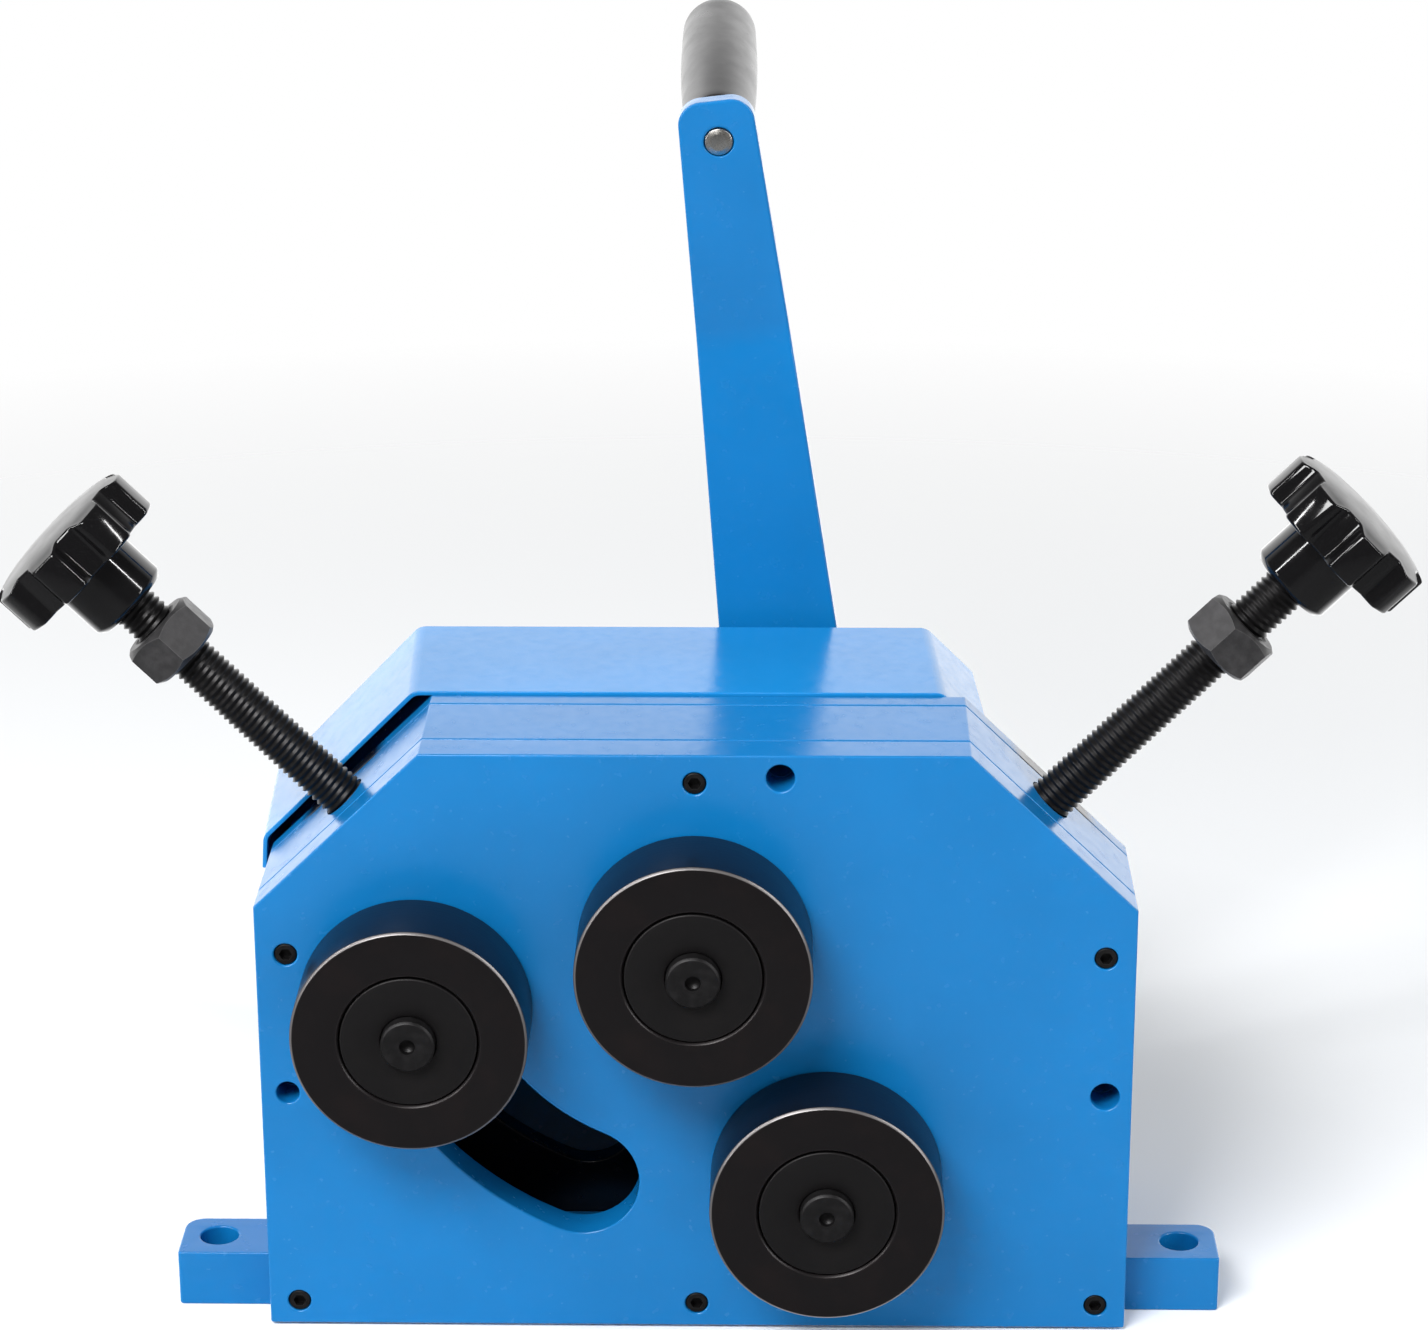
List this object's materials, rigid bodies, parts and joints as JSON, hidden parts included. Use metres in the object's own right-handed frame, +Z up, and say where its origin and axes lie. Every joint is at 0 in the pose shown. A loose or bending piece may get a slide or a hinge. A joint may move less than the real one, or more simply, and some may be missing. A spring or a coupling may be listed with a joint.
{
  "type": "ring roller",
  "caption": "Bench ring roller: a hand crank drives geared rolls on a boxed steel housing, and opposed screws with star knobs set a swinging roll.",
  "frame": {"origin": "middle of the underside of the base bar", "axes": "+X to the right along the front plate, +Y backwards to the crank, +Z up"},
  "size_m": [0.4778, 0.2987, 0.4214],
  "materials": {
    "blue_enamel": "satin blue enamel",
    "blue_enamel_hood": "satin blue enamel on sheet",
    "blackened_roll_steel": "turned and blackened",
    "ground_steel": "ground",
    "black_oxide_steel": "black oxide",
    "dark_nut_steel": "dull dark grey",
    "black_knob_plastic": "glossy",
    "grey_grip_plastic": "satin gloss",
    "bearing_bronze": "turned",
    "bright_zinc_steel": "bright zinc"
  },
  "bodies": {
    "housing": {"front_plate": "blue_enamel", "frame_arch": "blue_enamel", "base_bar": "blue_enamel", "middle_plate": "blue_enamel", "rear_plate": "blue_enamel", "left_cover": "blue_enamel", "right_cover": "blue_enamel", "hood": "blue_enamel_hood", "hood_screw_1": "black_oxide_steel", "hood_screw_2": "black_oxide_steel", "pillar_1": "black_oxide_steel", "pillar_2": "black_oxide_steel", "pillar_3": "black_oxide_steel", "pillar_4": "black_oxide_steel", "plate_screw_left_high": "black_oxide_steel", "plate_screw_left_low": "black_oxide_steel", "plate_screw_right_high": "black_oxide_steel", "plate_screw_right_low": "black_oxide_steel", "plate_screw_top": "black_oxide_steel", "plate_screw_bottom": "black_oxide_steel", "pivot_bush": "bearing_bronze", "drive_front_bush": "bearing_bronze", "centre_rear_bush": "bearing_bronze", "drive_rear_bush": "bearing_bronze"},
    "centre_roll": {"centre_roll_ring": "blackened_roll_steel", "centre_roll_cap": "blackened_roll_steel", "centre_roll_shaft": "ground_steel", "centre_gear": "ground_steel"},
    "drive_roll": {"drive_roll_ring": "blackened_roll_steel", "drive_roll_cap": "blackened_roll_steel", "drive_roll_shaft": "ground_steel", "drive_gear": "ground_steel", "crank_lever": "blue_enamel", "crank_washer": "bright_zinc_steel", "crank_nut": "dark_nut_steel", "grip_spindle": "bright_zinc_steel", "grip_washer": "black_oxide_steel"},
    "grip": {"grip": "grey_grip_plastic"},
    "rocker": {"rocker": "blue_enamel", "swing_bush": "bearing_bronze"},
    "swing_roll": {"swing_roll_ring": "blackened_roll_steel", "swing_roll_cap": "blackened_roll_steel", "swing_roll_shaft": "ground_steel", "swing_roll_collar": "black_oxide_steel"},
    "left_pad": {"left_pad": "ground_steel"},
    "left_screw": {"left_screw": "black_oxide_steel", "left_knob": "black_knob_plastic"},
    "left_lock_nut": {"left_lock_nut": "dark_nut_steel"},
    "right_pad": {"right_pad": "ground_steel"},
    "right_screw": {"right_screw": "black_oxide_steel", "right_knob": "black_knob_plastic"},
    "right_lock_nut": {"right_lock_nut": "dark_nut_steel"}
  },
  "joints": [
    {"name": "drive_spin", "type": "hinge", "parent": "housing", "child": "drive_roll", "pos_m": [0.0451, 0, 0.06019], "axis": [0, 1, 0], "continuous": true},
    {"name": "centre_spin", "type": "hinge", "parent": "housing", "child": "centre_roll", "pos_m": [0, 0, 0.1472], "axis": [0, 1, 0], "continuous": true},
    {"name": "grip_spin", "type": "hinge", "parent": "drive_roll", "child": "grip", "pos_m": [0.00618, 0.107, 0.39303], "axis": [-0.0142, 0.9925, 0.1213], "continuous": true},
    {"name": "rocker_swing", "type": "hinge", "parent": "housing", "child": "rocker", "pos_m": [0, 0, 0.1472], "axis": [0, 1, 0], "range_deg": [-52, 6]},
    {"name": "swing_roll_spin", "type": "hinge", "parent": "rocker", "child": "swing_roll", "pos_m": [-0.09559, 0, 0.12345], "axis": [0, 1, 0], "continuous": true},
    {"name": "left_pad_slide", "type": "slide", "parent": "housing", "child": "left_pad", "axis": [0.7071, 0, -0.7071], "range_m": [-0.00594, 0.05175]},
    {"name": "left_screw_turn", "type": "hinge", "parent": "left_pad", "child": "left_screw", "pos_m": [-0.12125, 0, 0.1876], "axis": [0.7071, 0, -0.7071], "range_deg": [-940, 8130]},
    {"name": "left_lock_nut_run", "type": "slide", "parent": "left_screw", "child": "left_lock_nut", "axis": [-0.7071, 0, 0.7071], "range_m": [-0.02, 0.01]},
    {"name": "right_pad_slide", "type": "slide", "parent": "housing", "child": "right_pad", "axis": [-0.7071, 0, -0.7071], "range_m": [-0.052, 0.006]},
    {"name": "right_screw_turn", "type": "hinge", "parent": "right_pad", "child": "right_screw", "pos_m": [0.12125, 0, 0.1876], "axis": [-0.7071, 0, -0.7071], "range_deg": [-8130, 940]},
    {"name": "right_lock_nut_run", "type": "slide", "parent": "right_screw", "child": "right_lock_nut", "axis": [0.7071, 0, 0.7071], "range_m": [-0.069, 0.017]}
  ],
  "couplings": [
    {"joint": "centre_spin", "follows": "drive_spin", "ratio": -1},
    {"joint": "left_screw_turn", "follows": "left_pad_slide", "rad_per_m": 2731.8},
    {"joint": "right_pad_slide", "follows": "left_pad_slide", "ratio": -1},
    {"joint": "right_screw_turn", "follows": "left_pad_slide", "rad_per_m": -2731.8},
    {"joint": "rocker_swing", "follows": "left_pad_slide", "rad_per_m": -17.492}
  ]
}
